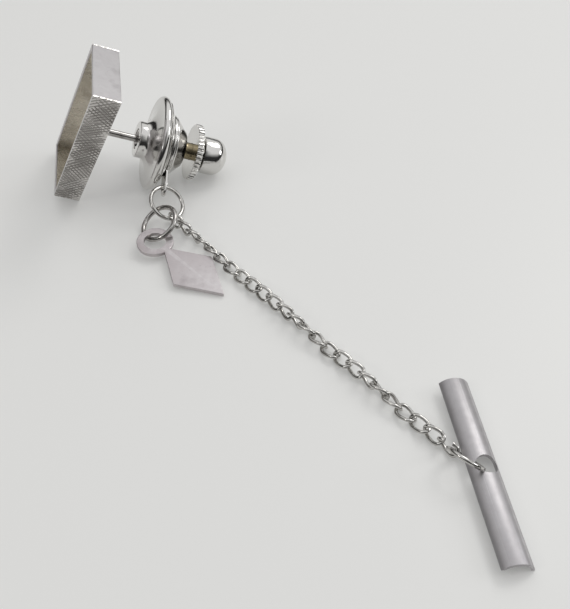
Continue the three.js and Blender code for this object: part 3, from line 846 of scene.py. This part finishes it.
@dataclass
class Clutch:
    """The bell, the dish behind it, the ear, the rear cone and the hidden lock."""

    rim_radius: float = 5.0
    rim_roll: float = 0.42
    hub_radius: float = 1.92
    hub_height: float = 2.05
    hub_round: float = 0.14
    neck: float = 0.65
    sheet: float = 0.3
    dish_depth: float = 1.15
    dish_radius: float = 3.35
    dish_bore: float = 1.7
    ferrule: float = 1.05
    ferrule_sunk: float = 0.05
    ferrule_from: float = 0.63
    post_bore: float = 0.44
    cone_front: float = 3.2
    cone_rear: float = 1.9
    cone_rear_at: float = 2.95
    stem_bore: float = 0.98
    ear_angle: float = math.radians(65)
    ear_thickness: float = 0.28
    ear_hole_at: float = 5.0
    ear_hole: float = 0.46
    ear_width: float = 1.7
    ear_tip: float = 0.95
    ear_soft: float = 0.07
    gap: float = 0.04

    def build(self, frame: Frame, lie: Lie) -> None:
        """Builds the pieces of the clutch that turn with it.

        Args:
            frame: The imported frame.
            lie: The pin's frame.
        """
        Piece("clutch_bell", self._bell(), BRIGHT, Slot.BRIGHT, "front_shell").set_down(frame, lie)
        Piece("clutch_dish", self._dish(), BRIGHT, Slot.BRIGHT, "rear_shell").set_down(frame, lie)
        Piece("clutch_ferrule", self._ferrule(), BRIGHT, Slot.BRIGHT, "entry_ferrule").set_down(frame, lie)
        Piece("clutch_ear", self._ear(), BRIGHT, Slot.BRIGHT, "ear_plate").set_down(frame, lie)
        Piece("clutch_cone", self._cone(), BRIGHT, Slot.SATIN, "rear_cone").set_down(frame, lie)
        self._dress_lock(frame)

    def _sweep(self, grown: float, steps: int) -> Profile:
        """Gives the bell's concave sweep from hub to rim, grown inwards by a sheet's thickness.

        Args:
            grown: How far the sweep is drawn inwards.
            steps: Points along it.

        Returns:
            Its points, as radius and height.
        """
        middle = self.rim_radius - self.rim_roll
        across = middle - self.hub_radius + grown
        top = self.hub_height - self.neck
        along = top - self.rim_roll + grown
        angles = [math.pi / 2 * i / steps for i in range(steps + 1)]
        return [(middle - across * math.cos(a), top - along * math.sin(a)) for a in angles]

    def _bell(self) -> Mesh:
        """Spins the polished bell with its rolled rim.

        Returns:
            The bell, with its hub open for the ferrule.
        """
        middle = self.rim_radius - self.rim_roll
        bore = self.ferrule + self.gap
        edge, under = self.hub_radius - self.hub_round, self.hub_height - self.sheet
        hub = [(bore, self.hub_height), (edge, self.hub_height)]
        hub += arc(edge, self.hub_height - self.hub_round, self.hub_round, 80, 10, 4)
        rim = arc(middle, 0.0, self.rim_roll, 84, -90, 20)
        inner = [(middle - 0.05, -self.rim_roll)] + self._sweep(self.sheet, 10)[::-1]
        inner += [(self.hub_radius - self.sheet, under), (bore, under)]
        return spun(hub + self._sweep(0.0, 20) + rim + inner, 144)

    def _dish(self) -> Mesh:
        """Spins the shallow dish that closes the bell's back.

        Returns:
            The dish, with its bore open.
        """
        seam, front = self.rim_radius - self.rim_roll - 0.05, -self.rim_roll - self.gap
        back = -self.dish_depth
        inside = back + self.sheet
        outline = [(seam, front), (seam + 0.1, front - 0.12), (self.dish_radius + 0.3, back + 0.12)]
        outline += [(self.dish_radius, back), (self.dish_bore, back), (self.dish_bore, inside)]
        outline += [(self.dish_radius - 0.2, inside), (seam - 0.5, front)]
        return spun(filleted(outline, 0.12, closed=True), 128)

    def _ferrule(self) -> Mesh:
        """Spins the funnel that takes the post.

        Returns:
            The funnel, with its bore open.
        """
        face, low = self.hub_height - self.ferrule_sunk, self.ferrule_from
        outline = [(self.ferrule, face - 0.08), (self.ferrule - 0.1, face)]
        outline += [(self.post_bore + 0.2, face - 0.25), (self.post_bore, face - 0.45)]
        outline += [(self.post_bore, low), (self.ferrule, low)]
        return spun(filleted(outline, 0.05, closed=True), 64)

    def _ear(self) -> Mesh:
        """Makes the flat ear with its hole, and the washer that it grows from.

        Returns:
            The ear and its washer in one mesh.
        """
        half, tip = self.ear_width / 2, self.ear_hole_at + self.ear_tip
        high = -self.dish_depth - self.gap
        low = high - self.ear_thickness
        nose = self.ear_hole_at - 0.1
        side = [(2.0, -half), (nose, -half * 0.92), (tip - 0.3, -half * 0.62), (tip, -half * 0.2)]
        shape = filleted(side + [(x, -y) for x, y in side[::-1]], 0.5, 5, closed=True)
        tab = slab(shape, low, high, self.ear_soft)
        hole = slab(arc(self.ear_hole_at, 0.0, self.ear_hole, 0, 350, 35), low - 1, high + 1)
        ear = cut_through(tab, hole)
        turn = Matrix.Rotation(self.ear_angle - math.pi / 2, 3, "Z")
        bmesh.ops.rotate(ear, verts=ear.verts, matrix=turn)
        bore = self.dish_bore + 0.05
        washer = [(bore, high), (self.dish_radius, high), (self.dish_radius, low), (bore, low)]
        ring = spun(filleted(washer, 0.08, closed=True), 96)
        data = bpy.data.meshes.new("washer")
        ring.to_mesh(data)
        ring.free()
        ear.from_mesh(data)
        bpy.data.meshes.remove(data)
        return ear

    def _cone(self) -> Mesh:
        """Spins the stepped cone behind the dish.

        Returns:
            The cone, with its bore open for the stem.
        """
        front = -self.dish_depth - self.ear_thickness - 2 * self.gap
        rear = -self.cone_rear_at
        inside = rear + self.sheet
        outline = [(self.cone_front, front), (self.cone_front, front - 0.15)]
        outline += [(self.cone_rear + 0.1, rear + 0.14), (self.cone_rear - 0.05, rear)]
        outline += [(self.stem_bore, rear), (self.stem_bore, inside)]
        outline += [(self.cone_rear - self.sheet, inside), (self.cone_front - 2 * self.sheet, front)]
        return spun(filleted(outline, 0.16, closed=True), 128)

    @staticmethod
    def _dress_lock(frame: Frame) -> None:
        """Gives the hidden cup, cage, balls and spring their metals.

        Args:
            frame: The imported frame.
        """
        for node, metal in (("taper_cup", WORN), ("return_spring", WORN), ("ball_cage", BRASS)):
            dress(frame.nodes[node], metal)
        for number in (1, 2, 3):
            dress(frame.nodes[f"lock_ball_{number}"], BRIGHT)


def dress(node: bpy.types.Object, metal: Metal) -> None:
    """Gives a kept CAD node its metal."""
    node.data.materials.clear()
    node.data.materials.append(metal.material())


@dataclass
class Plunger:
    """What the fingers pull: the brass stem, the coin-edged disc and the knob."""

    stem: float = 0.9
    bore: float = 0.44
    disc_front: float = -3.9
    disc_thickness: float = 0.65
    disc_radius: float = 3.0
    teeth: int = 44
    tooth: float = 0.14
    knob: float = 2.0
    knob_length: float = 3.3
    doming: float = 0.75
    collar: float = 1.25
    collar_length: float = 0.35
    gap: float = 0.04

    def build(self, frame: Frame, lie: Lie) -> None:
        """Builds the stem, the disc and the knob.

        Args:
            frame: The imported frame.
            lie: The pin's frame.
        """
        reach = lie.inside(frame.nodes["plunger_stem"])[:, 2]
        rear, front = float(reach.min()), float(reach.max())
        stem = [(self.bore, front), (self.stem, front), (self.stem, rear), (self.bore, rear)]
        turned = spun(filleted(stem, 0.05, closed=True), 64)
        Piece("plunger_neck", turned, BRASS, Slot.BRASS, "plunger_stem").set_down(frame, lie)
        Piece("grip_disc", self._disc(), BRIGHT, Slot.BRIGHT, "knurled_disc", 25.0).set_down(frame, lie)
        Piece("grip_knob", self._knob(), BRIGHT, Slot.BRIGHT, "pull_knob").set_down(frame, lie)

    def _disc(self) -> Mesh:
        """Raises the coin edge: a rounded tooth and a narrow groove, all the way round.

        Returns:
            The disc, with its bore open for the stem.
        """
        rear = self.disc_front - self.disc_thickness
        outline: Profile = []
        for tooth in range(self.teeth):
            for share, lift in ((0.0, 0.0), (0.14, 0.0), (0.3, 0.75), (0.57, 1.0), (0.84, 0.75)):
                angle = TURN * (tooth + share) / self.teeth
                radius = self.disc_radius - self.tooth * (1.0 - lift)
                outline.append((radius * math.cos(angle), radius * math.sin(angle)))
        disc = slab(outline, rear, self.disc_front, 0.05)
        hole = slab(arc(0.0, 0.0, self.stem + self.gap, 0, 352, 44), rear - 1, self.disc_front + 1)
        return cut_through(disc, hole)

    def _knob(self) -> Mesh:
        """Spins the domed knob on its short collar.

        Returns:
            The knob, closed at both ends.
        """
        front = self.disc_front - self.disc_thickness - self.gap
        shoulder = front - self.collar_length
        dome = front - self.knob_length + self.knob * self.doming
        outline = [(0.0, front), (self.collar, front), (self.collar, shoulder)]
        outline += [(self.knob - 0.3, shoulder), (self.knob - 0.06, shoulder - 0.14)]
        outline.append((self.knob, shoulder - 0.4))
        angles = [math.pi / 2 * i / 20 for i in range(20)]
        curve = [(self.knob * math.cos(a), dome - self.knob * self.doming * math.sin(a)) for a in angles]
        outline += curve + [(0.0, front - self.knob_length)]
        return spun(outline, 128, closed=False)


# ---------------------------------------------------------------- rings, tag, chain and bar


@dataclass
class LooseRing:
    """A cut wire ring."""

    node: str
    name: str
    metal: Metal
    slot: Slot
    wire: float
    slit: float
    slit_at: float
    points: int = 96

    def build(self, frame: Frame) -> None:
        """Builds the ring where its node lies, with a narrow slit.

        Args:
            frame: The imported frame.
        """
        node = frame.nodes[self.node]
        lie = Lie.of_node(node)
        local = lie.inside(node)
        radius = float(np.hypot(local[:, 0], local[:, 1]).max()) - self.wire
        half = self.slit / radius / 2
        start = math.radians(self.slit_at)
        turns = [start + half + (TURN - 2 * half) * i / (self.points - 1) for i in range(self.points)]
        path = [(radius * math.cos(a), radius * math.sin(a), 0.0) for a in turns]
        ring = wire(path, self.wire, closed=False, sides=6)
        Piece(self.name, ring, self.metal, self.slot, self.node, 40.0).set_down(frame, lie)


@dataclass
class TagPlate:
    """The blank tag: a thin rhombus with an eye."""

    side: float = 5.07
    corner: float = math.radians(61)
    thickness: float = 0.4
    eye_outer: float = 1.85
    eye_inner: float = 1.13
    eye_to_corner: float = 1.2

    def lie(self, frame: Frame) -> Lie:
        """Finds the tag's frame: x from the eye to the far corner, z out of its upper face.

        Args:
            frame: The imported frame.

        Returns:
            The tag's frame, with its origin at the eye's middle on the lower face.
        """
        node = frame.nodes["tag"]
        loose = Lie.of_node(node)
        local = loose.inside(node)
        turn = loose.matrix.to_3x3().normalized()
        up = turn.col[2] if turn.col[2].z > 0 else -turn.col[2]
        along = self._long_way(local, turn)
        reach = local @ np.array(turn.inverted() @ along)
        eye = float(reach.min() + self.eye_outer)
        origin = loose.matrix.translation + along * eye * MM - up * self.thickness / 2 * MM
        return Lie.of_axes(origin, along, up.cross(along), up)

    @staticmethod
    def _long_way(local: np.ndarray, turn: Matrix) -> Vector:
        """Gives the direction in which the plate tapers to its far corner.

        Args:
            local: The node's vertices in its own frame.
            turn: That frame's directions.

        Returns:
            A unit direction.
        """
        x, near_end = local[:, 0], 1.2
        wide_low = np.ptp(local[x < x.min() + near_end][:, 1])
        wide_high = np.ptp(local[x > x.max() - near_end][:, 1])
        return turn.col[0] * (1.0 if wide_low > wide_high else -1.0)

    def _outline(self) -> Profile:
        """Draws the plate and its eye as one outline.

        Returns:
            The outline about the eye's middle.
        """
        half = self.corner / 2
        long_way, wide = 2 * self.side * math.cos(half), self.side * math.sin(half)
        start = self.eye_to_corner
        b = start * math.cos(half)
        reach = -b + math.sqrt(b * b + self.eye_outer**2 - start**2)
        neck = (start + reach * math.cos(half), reach * math.sin(half))
        turn = math.degrees(math.atan2(neck[1], neck[0]))
        plate = [(start + long_way / 2, -wide), (start + long_way, 0.0), (start + long_way / 2, wide)]
        sharp = filleted([(neck[0], -neck[1]), *plate, neck], 0.12, 3)
        return sharp + arc(0.0, 0.0, self.eye_outer, turn, 360 - turn, 48)[1:-1]

    def build(self, frame: Frame) -> None:
        """Builds the tag with softly pressed edges.

        Args:
            frame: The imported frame.
        """
        plate = slab(self._outline(), 0.0, self.thickness, 0.08)
        hole = slab(arc(0.0, 0.0, self.eye_inner, 0, 354, 59), -1.0, 1.0)
        mesh = cut_through(plate, hole)
        tag = Piece("tag_plate", mesh, TAG_SATIN, Slot.SATIN, "tag", 15.0)
        tag.set_down(frame, self.lie(frame))


@dataclass
class CurbChain:
    """The curb chain, whose last link is left open."""

    count: int = 25
    length: float = 2.26
    width: float = 1.46
    wire: float = 0.165
    fullness: float = 0.35
    twist: float = math.radians(66)
    open_gap: float = 0.11
    points: int = 56

    def _loop(self, start: float, end: float) -> list[tuple[float, float, float]]:
        """Gives the middle line of a twisted link between two shares of a turn.

        Args:
            start: The share of a turn where the line starts.
            end: The share where it stops.

        Returns:
            Its points, in millimetres.
        """
        reach = self.length / 2 - self.wire
        path = []
        for i in range(self.points):
            angle = TURN * (start + (end - start) * i / self.points)
            along = reach * math.cos(angle)
            full = 1 + self.fullness * math.cos(angle) ** 2
            across = (self.width / 2 - self.wire) * full * math.sin(angle)
            twist = -self.twist * along / (2 * reach)
            path.append((along, across * math.cos(twist), across * math.sin(twist)))
        return path

    def build(self, frame: Frame) -> None:
        """Builds each link where its node lies.

        Args:
            frame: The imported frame.
        """
        for number in range(1, self.count + 1):
            node = f"chain_link_{number:02d}"
            last = number == self.count
            lie = self._open_lie(frame) if last else Lie.of_node(frame.nodes[node])
            path = self._loop(0.8, 1.8 - self.open_gap) if last else self._loop(0.0, 1.0)
            link = wire(path, self.wire, closed=not last, sides=4)
            Piece(f"curb_link_{number:02d}", link, CHAIN, Slot.BRIGHT, node, 50.0).set_down(frame, lie)

    def _open_lie(self, frame: Frame) -> Lie:
        """Finds the open link's frame from the wires that it hangs on and carries.

        Args:
            frame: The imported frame.

        Returns:
            The open link's frame.
        """
        start, end = frame.joints[f"link_{self.count}_swing"], frame.joints["toggle_ring_swing"]
        near, far = Vector(start["pos_m"]), Vector(end["pos_m"])
        x = (far - near).normalized()
        first, second = Vector(start["axis"]), Vector(end["axis"])
        if first.dot(second) < 0:
            first = -first
        y = (first + second).normalized()
        y = (y - x * y.dot(x)).normalized()
        return Lie.of_axes((near + far) / 2, x, y, x.cross(y))


@dataclass
class ToggleBar:
    """The half-round channel that goes through a buttonhole, with a hole at its middle."""

    length: float = 17.4
    width: float = 2.9
    crown: float = 0.95
    sheet: float = 0.28
    hole_along: float = 0.85
    hole_across: float = 1.0
    facets: int = 40

    def lie(self, frame: Frame) -> Lie:
        """Finds the bar's frame: x along it, z out of its crown, with its edges at z 0.

        Args:
            frame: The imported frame.

        Returns:
            The bar's frame.
        """
        node = frame.nodes["t_bar"]
        loose = Lie.of_node(node)
        turn = loose.matrix.to_3x3().normalized()
        along, up = turn.col[0], turn.col[2]
        if up.z < 0:
            up = -up
        local = loose.inside(node) @ np.array(turn.inverted() @ up)
        origin = loose.matrix.translation + up * float(local.min()) * MM
        return Lie.of_axes(origin, along, up.cross(along), up)

    def _section(self) -> Profile:
        """Draws the channel's section: an arched strip with rounded edges.

        Returns:
            The closed outline of the section.
        """
        half = self.width / 2
        outer = (half * half + self.crown**2) / (2 * self.crown)
        inner = outer - self.sheet
        middle = self.crown - outer
        start = math.degrees(math.atan2(-middle, half))
        low = math.degrees(math.asin(-middle / inner))
        crown = arc(0.0, middle, outer, start, 180 - start, self.facets)
        under = arc(0.0, middle, inner, 180 - low, low, self.facets)
        return crown + under

    def build(self, frame: Frame) -> None:
        """Builds the bar and its oval hole.

        Args:
            frame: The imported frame.
        """
        bar = slab(self._section(), -self.length / 2, self.length / 2)
        ends = [e for e in bar.edges if abs(e.verts[0].co.z - e.verts[1].co.z) < LEVEL]
        soften(bar, ends, 0.04)
        stand = Matrix(((0, 0, 1), (1, 0, 0), (0, 1, 0)))
        bmesh.ops.rotate(bar, verts=bar.verts, matrix=stand)
        round_hole = arc(0.0, 0.0, 1.0, 0, 350, 47)
        oval = [(x * self.hole_along, y * self.hole_across) for x, y in round_hole]
        mesh = cut_through(bar, slab(oval, -1.0, 3.0))
        channel = Piece("toggle_channel", mesh, BAR_SATIN, Slot.SATIN, "t_bar", 15.0)
        channel.set_down(frame, self.lie(frame))


# ---------------------------------------------------------------- table, light and camera


@dataclass(frozen=True)
class Lamp:
    """A square area light."""

    name: str
    place: tuple[float, float, float]
    size: float
    power: float
    colour: tuple[float, float, float]

    def hang(self, focus: Vector) -> None:
        """Adds the light to the scene, facing the tack.

        Args:
            focus: The place that the light faces.
        """
        light = bpy.data.lights.new(self.name, "AREA")
        light.size = self.size
        light.energy = self.power
        light.color = self.colour
        lamp = bpy.data.objects.new(self.name, light)
        lamp.location = self.place
        lamp.rotation_euler = (focus - Vector(self.place)).to_track_quat("-Z", "Y").to_euler()
        bpy.context.scene.collection.objects.link(lamp)


@dataclass
class Studio:
    """The table, the soft lights, the room and the camera, in metres."""

    focus: Vector = Vector((0.0036, 0.00173, 0.0))
    distance: float = 0.0829
    lift: float = math.radians(47.5)
    lens: float = 51.43
    sensor: float = 36.0
    near_clip: float = 0.005
    table: tuple[float, float, float] = (0.62, 0.62, 0.608)
    # The table's own glow: painted light that lifts the shadows on it and lights the tack a little from
    # below.
    glow: float = 0.32
    table_roughness: float = 0.38
    table_specular: float = 0.35
    lamps: tuple[Lamp, ...] = (
        Lamp("window", (0.20, 0.22, 0.30), 0.16, 0.30, (1.0, 0.99, 0.97)),
        Lamp("side", (0.36, 0.02, 0.16), 0.12, 0.20, (0.97, 0.98, 1.0)),
        Lamp("strip", (-0.26, -0.12, 0.20), 0.06, 0.07, (1.0, 0.98, 0.96)),
    )
    bright_wall: tuple[float, float, float] = (0.55, 0.83, 0.0)
    wall_lift: float = 0.3
    ceiling: tuple[tuple[float, float], ...] = ((0.10, 0.025), (0.40, 0.04), (0.54, 0.40), (0.66, 0.92))
    shade_from: float = 0.84
    shade_full: float = 0.96
    shade_left: float = 0.2
    room_strength: float = 0.92

    def build(self) -> None:
        """Sets up the table, the lights, the room and the camera."""
        self._table()
        for lamp in self.lamps:
            lamp.hang(self.focus)
        self._room()
        self._camera()

    def _away(self) -> Vector:
        """Gives the direction from the tack to the camera's first place."""
        return Vector((0.0, -math.cos(self.lift), math.sin(self.lift)))

    def _table(self) -> None:
        """Lays a pale, slightly glossy table that also glows a little: painted light that lifts the shadows
        round the tack.
        """
        mesh = bmesh.new()
        bmesh.ops.create_grid(mesh, x_segments=1, y_segments=1, size=1.5)
        data = bpy.data.meshes.new("table")
        mesh.to_mesh(data)
        mesh.free()
        material = bpy.data.materials.new("pale_table")
        material.use_nodes = True
        shader = material.node_tree.nodes["Principled BSDF"]
        shader.inputs["Base Color"].default_value = (*self.table, 1.0)
        # Painted light: the table glows by itself, which lifts its shadows.
        shader.inputs["Emission Color"].default_value = (*self.table, 1.0)
        shader.inputs["Emission Strength"].default_value = self.glow
        shader.inputs["Roughness"].default_value = self.table_roughness
        shader.inputs["Specular IOR Level"].default_value = self.table_specular
        data.materials.append(material)
        table = bpy.data.objects.new("table", data)
        bpy.context.scene.collection.objects.link(table)

    def _room(self) -> None:
        """Makes a room that is bright overhead, dark round the walls and shaded on the viewer's side."""
        world = bpy.data.worlds.new("room")
        nodes = Nodes.of(world)
        place = nodes.add("ShaderNodeTexCoord").outputs["Generated"]
        height = nodes.add("ShaderNodeSeparateXYZ", i_0=place).outputs["Z"]
        lower = nodes.ranged(self._facing(nodes, place, self.bright_wall), 0.0, 1.0, 0.0, self.wall_lift)
        ramp = nodes.add("ShaderNodeValToRGB", i_0=nodes.math("ADD", height, lower))
        stops = ramp.color_ramp.elements
        stops[0].position, stops[0].color = 0.0, (0.10, 0.10, 0.10, 1.0)
        stops[1].position, stops[1].color = 1.0, (0.95, 0.95, 0.96, 1.0)
        for position, shade in self.ceiling:
            stop = stops.new(position)
            stop.color = (shade, shade, shade * 0.99, 1.0)
        facing = self._facing(nodes, place, self._away())
        shaded = nodes.ranged(facing, self.shade_from, self.shade_full, 1.0, self.shade_left)
        room = nodes.add("ShaderNodeVectorMath", operation="SCALE", i_0=ramp.outputs[0], i_Scale=shaded)
        back = nodes.add("ShaderNodeBackground", i_Color=room.outputs[0], i_Strength=self.room_strength)
        nodes.add("ShaderNodeOutputWorld", i_Surface=back.outputs[0])
        bpy.context.scene.world = world
        bpy.context.scene.view_settings.view_transform = "Standard"

    @staticmethod
    def _facing(nodes: Nodes, place: Socket, towards: Sequence[float]) -> Socket:
        """Gives how far a place in the room lies towards a direction."""
        node = nodes.add("ShaderNodeVectorMath", operation="DOT_PRODUCT", i_0=place, i_1=towards)
        return node.outputs["Value"]

    def _camera(self) -> None:
        """Places the camera above the near edge of the table."""
        data = bpy.data.cameras.new("camera")
        data.lens = self.lens
        data.sensor_width = self.sensor
        data.clip_start = self.near_clip
        camera = bpy.data.objects.new("camera", data)
        away = self._away()
        camera.location = self.focus + away * self.distance
        camera.rotation_euler = (-away).to_track_quat("-Z", "Y").to_euler()
        bpy.context.scene.collection.objects.link(camera)
        bpy.context.scene.camera = camera


def main() -> None:
    """Builds the whole tack round its frame."""
    logging.basicConfig(level=logging.INFO, format="%(name)s: %(message)s")
    frame = Frame.loaded()
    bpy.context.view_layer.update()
    mottle_group()
    scratch_group()
    rubbed_group()
    Studio().build()
    pin = frame.pin_lie()
    Tray().build(frame, pin)
    Post().build(frame, pin)
    Clutch().build(frame, pin)
    Plunger().build(frame, pin)
    LooseRing("jump_ring_1", "ear_ring_wire", CHAIN, Slot.BRIGHT, 0.21, 0.05, 200.0).build(frame)
    LooseRing("jump_ring_2", "tag_ring_wire", WORN, Slot.WORN, 0.25, 0.06, 120.0).build(frame)
    LooseRing("bar_ring", "toggle_ring_wire", CHAIN, Slot.BRIGHT, 0.2, 0.05, 90.0).build(frame)
    TagPlate().build(frame)
    CurbChain().build(frame)
    ToggleBar().build(frame)


if __name__ == "__main__":
    main()
